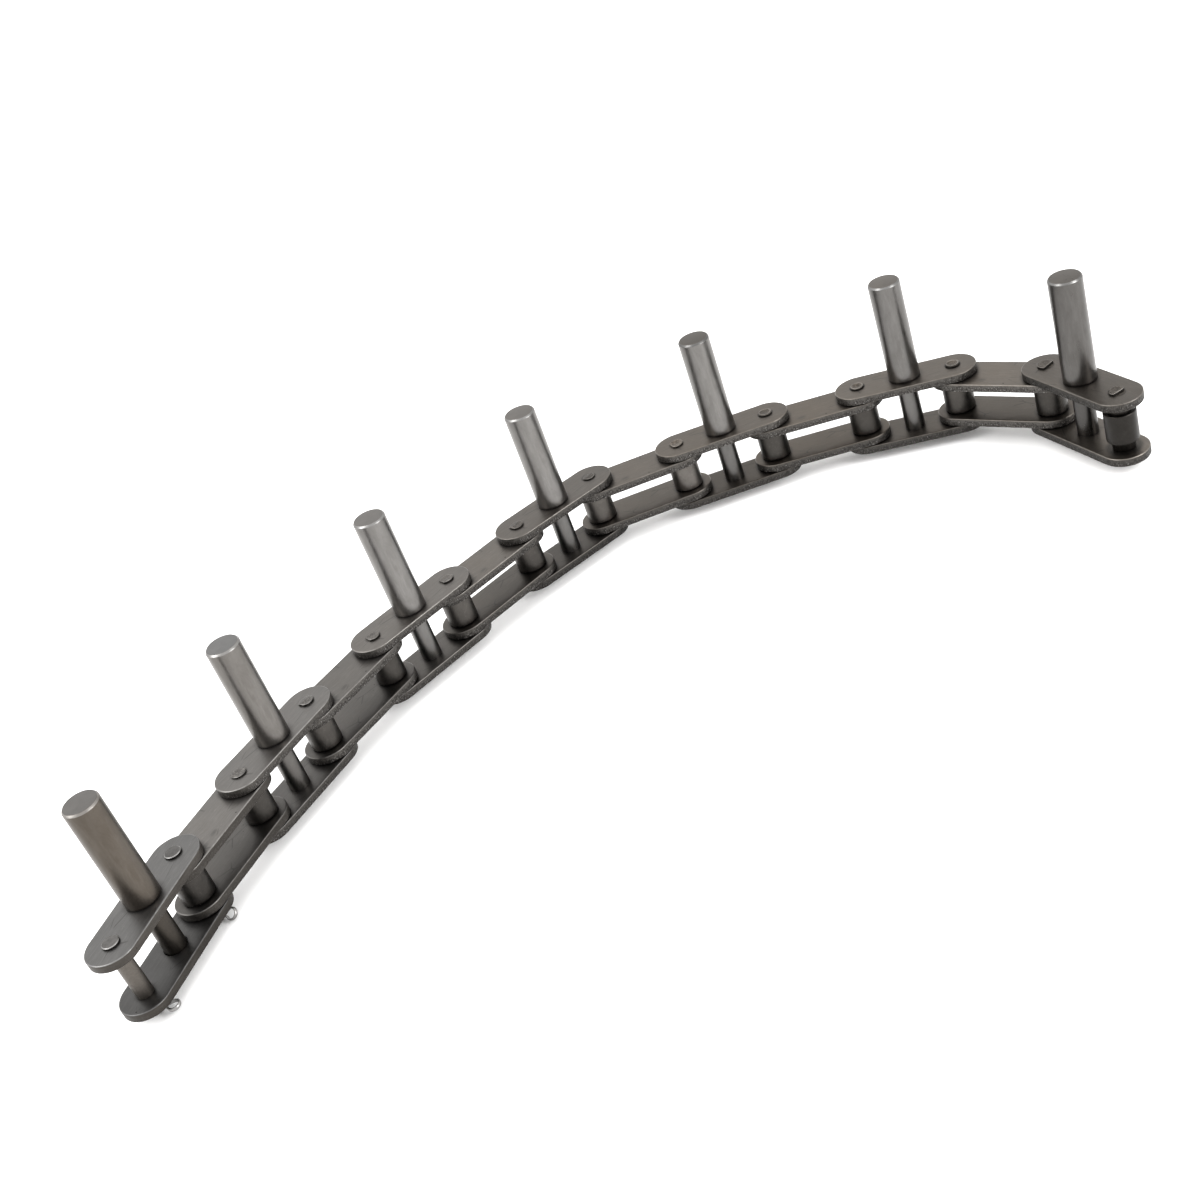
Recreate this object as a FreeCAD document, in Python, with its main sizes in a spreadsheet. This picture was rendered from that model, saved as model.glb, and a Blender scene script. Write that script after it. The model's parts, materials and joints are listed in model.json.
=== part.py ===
import FreeCAD, Part
import Sketcher
import math
import os

# A strand of double-pitch roller conveyor chain lying on its side, with a tall stepped stud
# through the middle of every outer link. All lengths are millimetres, all angles degrees.
# The strand runs from left to right; +Z points along the studs, and the studs' side is the top.

DIMENSIONS = (
    ("pitch", 38.10, "centre to centre of neighbouring pins"),
    ("inside_width", 12.57, "clear width between the two inner plates"),
    ("inner_plate_thickness", 3.25, "strip that the inner plates are punched from"),
    ("outer_plate_thickness", 3.25, "strip that the outer plates are punched from"),
    ("inner_plate_height", 18.30, "inner plate across its straight sides"),
    ("outer_plate_height", 18.30, "outer plate across its straight sides"),
    ("plate_side_clearance", 0.30, "gap between an inner plate and the outer plate beside it"),
    ("rolled_rim", 0.40, "rounding that punching leaves on the upper rim of each plate"),
    ("pin_diameter", 5.94, "pins"),
    ("pin_running_clearance", 0.04, "gap all round between a pin and its bush"),
    ("pin_end_height", 0.70, "riveted pin end above the plate it is riveted over"),
    ("pin_end_flat_depth", 0.95, "how far the flat on a riveted end cuts into the round"),
    ("bush_diameter", 8.36, "outside of a bush, pressed into both inner plates"),
    ("roller_diameter", 11.91, "outside of a roller"),
    ("roller_running_clearance", 0.07, "gap all round between a roller and its bush"),
    ("roller_end_clearance", 0.22, "gap between each end of a roller and the inner plate"),
    ("stud_diameter", 12.50, "thick part of a stud, above the top plate"),
    ("stud_height", 41.80, "thick part of a stud, from the top plate to its end"),
    ("stud_chamfer", 0.80, "edge of a stud's free end"),
    ("shank_diameter", 7.94, "thin part of a stud, through both outer plates"),
    ("shank_end_height", 0.60, "shank end beyond the bottom plate"),
    ("head_height", 0.95, "round head end of a connecting pin above the top plate"),
    ("head_bevel", 0.45, "bevel round the head end of a connecting pin"),
    ("tail_length", 5.00, "tail of a connecting pin below the loose plate"),
    ("tail_bevel", 0.50, "bevel round the tail end of a connecting pin"),
    ("loose_plate_pin_clearance", 0.05, "gap all round between the loose plate and its pins"),
    ("loose_plate_shank_clearance", 0.35, "gap all round between the loose plate and the shank"),
    ("split_pin_drop", 2.30, "axis of a split pin below the loose plate"),
    ("split_pin_diameter", 2.00, "closed legs of a split pin"),
    ("split_pin_hole_clearance", 0.10, "gap all round between a split pin and its hole"),
    ("split_pin_wire", 1.10, "wire of a split pin's eye"),
    ("split_pin_eye_diameter", 4.90, "outside of a split pin's eye"),
    ("split_pin_eye_reach", 8.30, "pin axis to the middle of the split pin's eye"),
    ("split_pin_leg_reach", 5.20, "pin axis to where the split pin's legs part"),
    ("split_pin_tip_length", 3.60, "parted end of each leg of a split pin"),
    ("split_pin_spread_angle", 38.0, "angle that each parted end turns away"),
    ("first_heading", 60.5, "direction of the connecting link, turned from +X towards +Y"),
    ("bend_1_angle", -6.5, "turn from link 1 to link 2 as the strand lies"),
    ("bend_2_angle", -6.2, "turn from link 2 to link 3"),
    ("bend_3_angle", -3.9, "turn from link 3 to link 4"),
    ("bend_4_angle", -10.6, "turn from link 4 to link 5"),
    ("bend_5_angle", -0.8, "turn from link 5 to link 6"),
    ("bend_6_angle", -6.0, "turn from link 6 to link 7"),
    ("bend_7_angle", -27.4, "turn from link 7 to link 8"),
    ("bend_8_angle", -2.8, "turn from link 8 to link 9"),
    ("bend_9_angle", -7.5, "turn from link 9 to link 10"),
    ("bend_10_angle", -5.5, "turn from link 10 to link 11"),
    ("bend_11_angle", -28.8, "turn from link 11 to link 12"),
    ("bend_12_angle", -29.0, "turn from link 12 to link 13"),
)

LINK_COUNT = 13

# Sizes that several pieces share, as expressions on the sheet's cells
PIN_RADIUS = "dims.pin_diameter / 2"
BUSH_BORE = "dims.pin_diameter / 2 + dims.pin_running_clearance"
BUSH_RADIUS = "dims.bush_diameter / 2"
BUSH_LENGTH = "dims.inside_width + 2 * dims.inner_plate_thickness"
ROLLER_BORE = "dims.bush_diameter / 2 + dims.roller_running_clearance"
ROLLER_RADIUS = "dims.roller_diameter / 2"
ROLLER_LENGTH = "dims.inside_width - 2 * dims.roller_end_clearance"
SHANK_RADIUS = "dims.shank_diameter / 2"
STUD_RADIUS = "dims.stud_diameter / 2"
LINK_WIDTH = (
    "dims.inside_width + 2 * dims.inner_plate_thickness"
    " + 2 * dims.plate_side_clearance + 2 * dims.outer_plate_thickness"
)


def new_sheet(doc):
    """Keep every driving dimension in a sheet, one named cell each."""
    sheet = doc.addObject("Spreadsheet::Sheet", "dims")
    for row, (name, number, meaning) in enumerate(DIMENSIONS, start=1):
        sheet.set("A%d" % row, name)
        sheet.set("B%d" % row, str(number))
        sheet.setAlias("B%d" % row, name)
        sheet.set("C%d" % row, meaning)
    doc.recompute()
    return sheet


def new_body(doc, label):
    """Start the body of one sub-part."""
    body = doc.addObject("PartDesign::Body", label)
    body.Label = label
    return body


def origin_feature(body, role):
    """One of the body's own origin planes or axes."""
    return next(feature for feature in body.Origin.OriginFeatures if feature.Role == role)


def new_sketch(body, name, role, level=None):
    """Start a sketch on one of the body's origin planes, raised to a level given as an expression."""
    sketch = body.newObject("Sketcher::SketchObject", name)
    sketch.AttachmentSupport = (origin_feature(body, role), [""])
    sketch.MapMode = "FlatFace"
    if level:
        sketch.setExpression("AttachmentOffset.Base.z", level)
    return sketch


def bind(sketch, constraint, name, expression):
    """Add a named constraint and tie it to the sheet."""
    index = sketch.addConstraint(constraint)
    sketch.renameConstraint(index, name)
    sketch.setExpression("Constraints." + name, expression)


def add_circle(sketch, name, radius, across=None, up=None):
    """Draw a circle centred on the sketch's origin, or off it along one of its axes."""
    circle = sketch.addGeometry(Part.Circle(FreeCAD.Vector(), FreeCAD.Vector(0, 0, 1), 1), False)
    bind(sketch, Sketcher.Constraint("Radius", circle, 1), name + "_radius", radius)
    place_point(sketch, name, circle, 3, across, up)


def place_point(sketch, name, geometry, point, across, up):
    """Hold a point at its distances from the sketch's origin; None keeps it on that axis."""
    if across is None:
        sketch.addConstraint(Sketcher.Constraint("PointOnObject", geometry, point, -2))
    else:
        offset = Sketcher.Constraint("DistanceX", -1, 1, geometry, point, 1)
        bind(sketch, offset, name + "_across", across)
    if up is None:
        sketch.addConstraint(Sketcher.Constraint("PointOnObject", geometry, point, -1))
    else:
        offset = Sketcher.Constraint("DistanceY", -1, 1, geometry, point, 1)
        bind(sketch, offset, name + "_up", up)


def add_polygon(sketch, corners):
    """Draw a closed outline whose corners are (across, up) expressions."""
    count = len(corners)
    rough = []
    for index in range(count):
        angle = 2 * math.pi * index / count
        rough.append(FreeCAD.Vector(math.cos(angle), math.sin(angle), 0))
    for index in range(count):
        sketch.addGeometry(Part.LineSegment(rough[index], rough[(index + 1) % count]), False)
    for index in range(count):
        sketch.addConstraint(Sketcher.Constraint("Coincident", index, 2, (index + 1) % count, 1))
    for index, (across, up) in enumerate(corners):
        place_point(sketch, "corner_%d" % index, index, 1, across, up)


def revolve(body, name, corners):
    """Turn a half section about the body's Z axis. Corners are (radius, height) expressions."""
    sketch = new_sketch(body, name + "_section", "XZ_Plane")
    add_polygon(sketch, corners)
    turned = body.newObject("PartDesign::Revolution", name)
    turned.Profile = sketch
    turned.ReferenceAxis = (sketch, ["V_Axis"])
    turned.Angle = 360
    body.Tip = turned
    return turned


def repeat_at_pitch(body):
    """Make the same piece again one pitch further along the link."""
    body.Document.recompute()
    pattern = body.newObject("PartDesign::LinearPattern", "both_ends_of_the_link")
    pattern.TransformMode = "Whole shape"
    pattern.Direction = (origin_feature(body, "X_Axis"), [""])
    pattern.Occurrences = 2
    pattern.setExpression("Length", "dims.pitch")
    body.Tip = pattern
    return pattern


def add_plate_outline(sketch, height):
    """Straight sides one pitch long, closed by half circles as wide as the named height."""
    sheet = sketch.Document.getObject("dims")
    pitch = float(sheet.get("pitch"))
    radius = float(sheet.get(height)) / 2
    flat = FreeCAD.Vector(0, 0, 1)
    quarter = math.pi / 2
    left = Part.Circle(FreeCAD.Vector(0, 0, 0), flat, radius)
    right = Part.Circle(FreeCAD.Vector(pitch, 0, 0), flat, radius)
    lower = (FreeCAD.Vector(0, -radius, 0), FreeCAD.Vector(pitch, -radius, 0))
    upper = (FreeCAD.Vector(pitch, radius, 0), FreeCAD.Vector(0, radius, 0))
    sketch.addGeometry(Part.ArcOfCircle(left, quarter, 3 * quarter), False)
    sketch.addGeometry(Part.LineSegment(*lower), False)
    sketch.addGeometry(Part.ArcOfCircle(right, -quarter, quarter), False)
    sketch.addGeometry(Part.LineSegment(*upper), False)
    for side in range(4):
        sketch.addConstraint(Sketcher.Constraint("Tangent", side, 2, (side + 1) % 4, 1))
    sketch.addConstraint(Sketcher.Constraint("Equal", 0, 2))
    sketch.addConstraint(Sketcher.Constraint("Coincident", 0, 3, -1, 1))
    sketch.addConstraint(Sketcher.Constraint("PointOnObject", 2, 3, -1))
    bind(sketch, Sketcher.Constraint("DistanceX", 0, 3, 2, 3, pitch), "pitch", "dims.pitch")
    bind(sketch, Sketcher.Constraint("Radius", 0, radius), "end_radius", "dims.%s / 2" % height)


def make_plate(doc, label, height, thickness, end_hole, middle_hole=None):
    """Punch a link plate: rounded ends, a hole at each end, and one for the stud if it has one."""
    body = new_body(doc, label)
    sketch = new_sketch(body, "plate_outline", "XY_Plane")
    add_plate_outline(sketch, height)
    add_circle(sketch, "left_hole", end_hole)
    add_circle(sketch, "right_hole", end_hole, across="dims.pitch")
    if middle_hole:
        add_circle(sketch, "stud_hole", middle_hole, across="dims.pitch / 2")
    blank = body.newObject("PartDesign::Pad", "punched_blank")
    blank.Profile = sketch
    blank.setExpression("Length", thickness)
    doc.recompute()
    top = blank.Shape.BoundBox.ZMax
    rim = [
        "Edge%d" % number
        for number, edge in enumerate(blank.Shape.Edges, start=1)
        if edge.BoundBox.ZMin > top - 0.001 and not edge.isClosed()
    ]
    rolled = body.newObject("PartDesign::Chamfer", "rolled_rim")
    rolled.Base = (blank, rim)
    rolled.setExpression("Size", "dims.rolled_rim")
    body.Tip = rolled
    return body


def cut_flat(body, name, level, upwards):
    """Cut a flat on the left side of a riveted end, from the plate's face to the end."""
    sketch = new_sketch(body, name + "_edge", "XY_Plane", level)
    inner = "dims.pin_end_flat_depth - " + PIN_RADIUS
    corners = (
        ("-dims.pin_diameter", "-dims.pin_diameter"),
        (inner, "-dims.pin_diameter"),
        (inner, "dims.pin_diameter"),
        ("-dims.pin_diameter", "dims.pin_diameter"),
    )
    add_polygon(sketch, corners)
    flat = body.newObject("PartDesign::Pocket", name)
    flat.Profile = sketch
    flat.Type = "ThroughAll"
    flat.Reversed = upwards
    body.Tip = flat
    return flat


def make_riveted_pins(doc, label):
    """Both pins of an outer link: riveted over the plates, with a flat on each riveted end."""
    body = new_body(doc, label)
    length = LINK_WIDTH + " + 2 * dims.pin_end_height"
    corners = (
        (None, None),
        (PIN_RADIUS, None),
        (PIN_RADIUS, length),
        (None, length),
    )
    revolve(body, "pin", corners)
    cut_flat(body, "upper_flat", LINK_WIDTH + " + dims.pin_end_height", True)
    cut_flat(body, "lower_flat", "dims.pin_end_height", False)
    repeat_at_pitch(body)
    return body


def make_connecting_pins(doc, label):
    """Both pins of the connecting link: bevelled head, and a tail drilled for a split pin."""
    body = new_body(doc, label)
    length = "dims.tail_length + " + LINK_WIDTH + " + dims.head_height"
    corners = (
        (None, None),
        (PIN_RADIUS + " - dims.tail_bevel", None),
        (PIN_RADIUS, "dims.tail_bevel"),
        (PIN_RADIUS, length + " - dims.head_bevel"),
        (PIN_RADIUS + " - dims.head_bevel", length),
        (None, length),
    )
    revolve(body, "pin", corners)
    sketch = new_sketch(body, "split_pin_hole_edge", "XZ_Plane")
    hole = "dims.split_pin_diameter / 2 + dims.split_pin_hole_clearance"
    add_circle(sketch, "hole", hole, up="dims.tail_length - dims.split_pin_drop")
    drilled = body.newObject("PartDesign::Pocket", "split_pin_hole")
    drilled.Profile = sketch
    drilled.Type = "ThroughAll"
    drilled.Midplane = True
    body.Tip = drilled
    repeat_at_pitch(body)
    return body


def make_stud(doc, label):
    """Turn a stepped stud: thin shank through both plates, shoulder on the top plate, thick end."""
    body = new_body(doc, label)
    shoulder = "dims.shank_end_height + " + LINK_WIDTH
    top = shoulder + " + dims.stud_height"
    corners = (
        (None, None),
        (SHANK_RADIUS, None),
        (SHANK_RADIUS, shoulder),
        (STUD_RADIUS, shoulder),
        (STUD_RADIUS, top + " - dims.stud_chamfer"),
        (STUD_RADIUS + " - dims.stud_chamfer", top),
        (None, top),
    )
    revolve(body, "stud", corners)
    return body


def turn_bush(body):
    """A plain bush, flush with the outer faces of the inner plates."""
    corners = (
        (BUSH_BORE, None),
        (BUSH_RADIUS, None),
        (BUSH_RADIUS, BUSH_LENGTH),
        (BUSH_BORE, BUSH_LENGTH),
    )
    return revolve(body, "bush", corners)


def turn_roller(body, bottom):
    """A plain roller, from a bottom level given as an expression."""
    top = bottom + " + " + ROLLER_LENGTH
    corners = (
        (ROLLER_BORE, bottom),
        (ROLLER_RADIUS, bottom),
        (ROLLER_RADIUS, top),
        (ROLLER_BORE, top),
    )
    return revolve(body, "roller", corners)


def make_bushes(doc, label):
    """Both bushes of an inner link."""
    body = new_body(doc, label)
    turn_bush(body)
    repeat_at_pitch(body)
    return body


def make_roller(doc, label):
    """One roller, free on its bush. Its own frame starts at the lower inner plate's outer face."""
    body = new_body(doc, label)
    turn_roller(body, "dims.inner_plate_thickness + dims.roller_end_clearance")
    return body


def make_end_bush_and_roller(doc, label):
    """The bush and the roller that are left on the strand's last pin, as two solids."""
    body = new_body(doc, label)
    turn_bush(body)
    turn_roller(body, "dims.inner_plate_thickness + dims.roller_end_clearance")
    return body


def add_leg(body, name, radius, start, length, turn=None):
    """Add a straight piece of a split pin, from a place across the link towards its far side."""
    leg = body.newObject("PartDesign::AdditiveCylinder", name)
    leg.AttachmentSupport = (origin_feature(body, "XZ_Plane"), [""])
    leg.MapMode = "FlatFace"
    leg.MapReversed = True
    leg.setExpression("Radius", radius)
    leg.setExpression("Height", length)
    leg.setExpression("AttachmentOffset.Base.z", start)
    if turn:
        leg.AttachmentOffset = FreeCAD.Placement(FreeCAD.Vector(), FreeCAD.Vector(0, 1, 0), 1)
        leg.setExpression("AttachmentOffset.Rotation.Angle", turn)
    body.Tip = leg
    return leg


def make_split_pins(doc, label):
    """Both split pins: an eye, closed legs through the pin's tail, and parted tips."""
    body = new_body(doc, label)
    legs = "dims.split_pin_diameter / 2"
    neck = "dims.split_pin_eye_reach - dims.split_pin_eye_diameter / 2 + dims.split_pin_wire / 2"
    ring = new_sketch(body, "eye_outline", "XY_Plane")
    outside = "dims.split_pin_eye_diameter / 2"
    add_circle(ring, "outside", outside, up="-dims.split_pin_eye_reach")
    add_circle(ring, "opening", outside + " - dims.split_pin_wire", up="-dims.split_pin_eye_reach")
    eye = body.newObject("PartDesign::Pad", "eye")
    eye.Profile = ring
    eye.Midplane = True
    eye.setExpression("Length", "dims.split_pin_wire")
    add_leg(body, "closed_legs", legs, "-(" + neck + ")", neck + " + dims.split_pin_leg_reach")
    for name, sign in (("left_tip", "-"), ("right_tip", "")):
        add_leg(
            body,
            name,
            "dims.split_pin_wire / 2",
            "dims.split_pin_leg_reach - " + legs,
            "dims.split_pin_tip_length",
            turn=sign + "dims.split_pin_spread_angle",
        )
    repeat_at_pitch(body)
    return body


def levels(size):
    """Heights of the pieces' lower faces above the surface that the strand lies on."""
    heights = {"tail": 0.0}
    heights["bottom_outer"] = size("tail_length")
    heights["riveted_end"] = heights["bottom_outer"] - size("pin_end_height")
    heights["shank_end"] = heights["bottom_outer"] - size("shank_end_height")
    heights["split_pin"] = heights["bottom_outer"] - size("split_pin_drop")
    bottom_inner = size("outer_plate_thickness") + size("plate_side_clearance")
    heights["bottom_inner"] = heights["bottom_outer"] + bottom_inner
    heights["between"] = heights["bottom_inner"] + size("inner_plate_thickness")
    heights["top_inner"] = heights["between"] + size("inside_width")
    top_outer = size("inner_plate_thickness") + size("plate_side_clearance")
    heights["top_outer"] = heights["top_inner"] + top_outer
    return heights


def strand_places(size):
    """Left pin position and heading of every link, with the strand's plan centred on the origin."""
    heading = size("first_heading")
    point = FreeCAD.Vector(0, 0, 0)
    places = []
    lows = []
    highs = []
    for link in range(1, LINK_COUNT + 1):
        if link > 1:
            heading = heading + size("bend_%d_angle" % (link - 1))
        step = FreeCAD.Vector(math.cos(math.radians(heading)), math.sin(math.radians(heading)), 0)
        far = point + step * size("pitch")
        name = "outer_plate_height" if link % 2 else "inner_plate_height"
        reach = size(name) / 2
        lows.append((min(point.x, far.x) - reach, min(point.y, far.y) - reach))
        highs.append((max(point.x, far.x) + reach, max(point.y, far.y) + reach))
        places.append((point, heading))
        point = far
    middle_x = (min(low[0] for low in lows) + max(high[0] for high in highs)) / 2
    middle_y = (min(low[1] for low in lows) + max(high[1] for high in highs)) / 2
    middle = FreeCAD.Vector(middle_x, middle_y, 0)
    return [(place - middle, heading) for place, heading in places]


def seat(body, place, level, along=0.0):
    """Put a sub-part on its link: at a height, and a distance along the link from its left pin."""
    point, heading = place
    turn = FreeCAD.Rotation(FreeCAD.Vector(0, 0, 1), heading)
    offset = turn.multVec(FreeCAD.Vector(along, 0, 0))
    body.Placement = FreeCAD.Placement(point + offset + FreeCAD.Vector(0, 0, level), turn)


def make_connecting_link(doc, place, heights, size):
    """The link at the strand's left end: its bottom plate comes off once the split pins are out."""
    height = "outer_plate_height"
    thickness = "dims.outer_plate_thickness"
    top = make_plate(
        doc, "connecting_link_top_plate", height, thickness, PIN_RADIUS, SHANK_RADIUS
    )
    loose = make_plate(
        doc,
        "connecting_link_loose_plate",
        height,
        thickness,
        PIN_RADIUS + " + dims.loose_plate_pin_clearance",
        SHANK_RADIUS + " + dims.loose_plate_shank_clearance",
    )
    pins = make_connecting_pins(doc, "connecting_link_pins")
    stud = make_stud(doc, "connecting_link_stud")
    split_pins = make_split_pins(doc, "split_pins")
    seat(top, place, heights["top_outer"])
    seat(loose, place, heights["bottom_outer"])
    seat(pins, place, heights["tail"])
    seat(stud, place, heights["shank_end"], along=size("pitch") / 2)
    seat(split_pins, place, heights["split_pin"])
    return [top, loose, pins, stud, split_pins]


def make_outer_link(doc, number, place, heights, size):
    """An outer link: two plates riveted on two pins, with a stud through the middle."""
    name = "outer_link_%d_" % number
    height = "outer_plate_height"
    thickness = "dims.outer_plate_thickness"
    top = make_plate(doc, name + "top_plate", height, thickness, PIN_RADIUS, SHANK_RADIUS)
    bottom = make_plate(doc, name + "bottom_plate", height, thickness, PIN_RADIUS, SHANK_RADIUS)
    pins = make_riveted_pins(doc, name + "pins")
    stud = make_stud(doc, name + "stud")
    seat(top, place, heights["top_outer"])
    seat(bottom, place, heights["bottom_outer"])
    seat(pins, place, heights["riveted_end"])
    seat(stud, place, heights["shank_end"], along=size("pitch") / 2)
    return [top, bottom, pins, stud]


def make_inner_link(doc, number, place, heights, size):
    """An inner link: two plates pressed on two bushes, with a free roller on each bush."""
    name = "inner_link_%d_" % number
    height = "inner_plate_height"
    thickness = "dims.inner_plate_thickness"
    top = make_plate(doc, name + "top_plate", height, thickness, BUSH_RADIUS)
    bottom = make_plate(doc, name + "bottom_plate", height, thickness, BUSH_RADIUS)
    bushes = make_bushes(doc, name + "bushes")
    left = make_roller(doc, name + "left_roller")
    right = make_roller(doc, name + "right_roller")
    seat(top, place, heights["top_inner"])
    seat(bottom, place, heights["bottom_inner"])
    seat(bushes, place, heights["bottom_inner"])
    seat(left, place, heights["bottom_inner"])
    seat(right, place, heights["bottom_inner"], along=size("pitch"))
    return [top, bottom, bushes, left, right]


def make_strand(doc, sheet):
    """Every sub-part of the strand, link by link from the left."""

    def size(name):
        return float(sheet.get(name))

    heights = levels(size)
    places = strand_places(size)
    pieces = make_connecting_link(doc, places[0], heights, size)
    for index in range(1, LINK_COUNT):
        number = index // 2 + 1
        if index % 2:
            pieces += make_inner_link(doc, number, places[index], heights, size)
        else:
            pieces += make_outer_link(doc, number, places[index], heights, size)
    end = make_end_bush_and_roller(doc, "end_bush_and_roller")
    seat(end, places[-1], heights["bottom_inner"], along=size("pitch"))
    pieces.append(end)
    return pieces


def check(doc, pieces):
    """Stop if anything in the document failed, or a sub-part has no sound solid."""
    for item in doc.Objects:
        if "Invalid" in item.State or "Error" in item.State:
            raise RuntimeError("%s failed: %s" % (item.Label, item.State))
    for piece in pieces:
        if piece.Shape.isNull() or not piece.Shape.isValid() or not piece.Shape.Solids:
            raise RuntimeError("%s has no sound solid" % piece.Label)


def main():
    doc = FreeCAD.newDocument("conveyor_chain")
    sheet = new_sheet(doc)
    pieces = make_strand(doc, sheet)
    doc.recompute()
    check(doc, pieces)
    os.makedirs("parts", exist_ok=True)
    for piece in pieces:
        piece.Shape.exportStep("parts/%s.step" % piece.Label)
    return doc, sheet, pieces


if __name__ == "__main__":
    main()
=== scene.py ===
import json
import math

import bmesh
import bpy
import numpy as np
from mathutils import Matrix, Vector


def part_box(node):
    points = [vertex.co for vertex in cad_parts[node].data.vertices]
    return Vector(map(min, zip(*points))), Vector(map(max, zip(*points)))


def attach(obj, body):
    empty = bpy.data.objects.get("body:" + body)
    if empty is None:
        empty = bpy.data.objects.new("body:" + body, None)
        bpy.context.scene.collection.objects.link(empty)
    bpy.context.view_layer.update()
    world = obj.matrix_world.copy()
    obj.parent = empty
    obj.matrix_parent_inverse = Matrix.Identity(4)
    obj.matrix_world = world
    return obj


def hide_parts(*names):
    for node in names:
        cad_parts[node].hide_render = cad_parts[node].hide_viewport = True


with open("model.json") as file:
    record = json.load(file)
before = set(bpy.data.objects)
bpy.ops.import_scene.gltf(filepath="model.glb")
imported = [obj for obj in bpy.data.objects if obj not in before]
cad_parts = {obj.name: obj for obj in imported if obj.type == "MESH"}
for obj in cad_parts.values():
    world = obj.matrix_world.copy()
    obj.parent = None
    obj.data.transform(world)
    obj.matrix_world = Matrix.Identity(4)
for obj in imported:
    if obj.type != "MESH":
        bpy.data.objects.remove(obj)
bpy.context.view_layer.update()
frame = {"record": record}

# A strand of roller conveyor chain lying on its side, with a tall turned stud through every
# outer link. Everything is in metres, in the same frame as the solids: +Z runs up the studs.

MM = 0.001
LINKS = 13

record = frame["record"]
hinge_at = {joint["name"]: np.array(joint["pos_m"]) for joint in record["behaviour"]["joints"]}
mount_at = {mount["name"]: np.array(mount["pos_m"]) for mount in record["mounts"]}

# The pins' axes, from the connecting link's open pin to the pin with the loose bush
PINS = np.array(
    [mount_at["open_left_pin"]]
    + [hinge_at["link_hinge_%d" % number] for number in range(1, LINKS)]
    + [hinge_at["end_bush_and_roller_spin"]]
)[:, :2]


def level(node, top):
    """Height of a node's top or bottom."""
    low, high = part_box(node)
    return high.z if top else low.z


TOP_FACE = level("connecting_link_top_plate", True)
BOTTOM_FACE = level("connecting_link_loose_plate", False)
INNER_TOP_FACE = level("inner_link_1_top_plate", True)
INNER_BOTTOM_FACE = level("inner_link_1_bottom_plate", False)
STUD_TOP = level("connecting_link_stud", True)
SHANK_END = level("connecting_link_stud", False)
ROLLER_LOW = level("inner_link_1_left_roller", False)
ROLLER_HIGH = level("inner_link_1_left_roller", True)
HEAD_TOP = level("connecting_link_pins", True)
TAIL_END = level("connecting_link_pins", False)
RIVET_TOP = level("outer_link_2_pins", True)
RIVET_END = level("outer_link_2_pins", False)
SPLIT_PIN_LEVEL = BOTTOM_FACE - 2.3 * MM

PITCH = 38.1 * MM
PLATE_REACH = 9.15 * MM  # half a plate's height
STUD_RADIUS = 6.25 * MM
SHANK_RADIUS = 3.97 * MM
PIN_RADIUS = 2.97 * MM
ROLLER_RADIUS = 5.955 * MM
ROLLER_BORE = 4.25 * MM
BUSH_RADIUS = 4.18 * MM
BUSH_BORE = 3.01 * MM
LOOSE_PIN_HOLE = 3.02 * MM
LOOSE_SHANK_HOLE = 4.32 * MM


def body_of_link(index):
    """Name of a link's body, counted from 0 at the connecting link."""
    if index == 0:
        return "connecting_link"
    return "%s_link_%d" % ("inner" if index % 2 else "outer", index // 2 + 1)


def link_frame(index):
    """Left pin, unit vector along the link and unit vector across it."""
    start = PINS[index]
    along = PINS[index + 1] - start
    along = along / np.linalg.norm(along)
    return start, along, np.array([-along[1], along[0]])


def on_link(index, local):
    """Points given along and across a link from its left pin, moved to where the link lies."""
    start, along, across = link_frame(index)
    plan = start + local[..., :1] * along + local[..., 1:2] * across
    return np.concatenate([plan, local[..., 2:]], axis=-1)


# Surfaces

WELD = 0.0005 * MM
SLIVER = 0.0002 * MM
SHARP_ANGLE = math.radians(32)


def new_piece(name, surfaces, material, body, nodes):
    """Weld grids of points into one closed mesh that rides on a body and stands for CAD nodes."""
    points = []
    faces = []
    first = 0
    for surface_points, surface_faces in surfaces:
        points.append(surface_points.reshape(-1, 3))
        faces += (surface_faces + first).tolist()
        first += len(points[-1])
    mesh = bpy.data.meshes.new(name)
    mesh.from_pydata(np.concatenate(points).tolist(), [], faces)
    work = bmesh.new()
    work.from_mesh(mesh)
    bmesh.ops.remove_doubles(work, verts=work.verts, dist=WELD)
    bmesh.ops.dissolve_degenerate(work, edges=work.edges, dist=SLIVER)
    bmesh.ops.recalc_face_normals(work, faces=work.faces)
    work.to_mesh(mesh)
    work.free()
    mesh.shade_smooth()
    mesh.set_sharp_from_angle(angle=SHARP_ANGLE)
    mesh.materials.append(material)
    piece = bpy.data.objects.new(name, mesh)
    bpy.context.scene.collection.objects.link(piece)
    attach(piece, body)
    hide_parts(*nodes)
    return piece


def grid(points, close_rows=False):
    """A grid of points with its quads: closed along each row, and over the rows if asked."""
    rows, columns = points.shape[:2]
    row, column = np.meshgrid(
        np.arange(rows if close_rows else rows - 1), np.arange(columns), indexing="ij"
    )
    next_row = (row + 1) % rows
    next_column = (column + 1) % columns
    corners = [row * columns + column, row * columns + next_column]
    corners += [next_row * columns + next_column, next_row * columns + column]
    return points, np.stack(corners, axis=-1).reshape(-1, 4)


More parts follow.
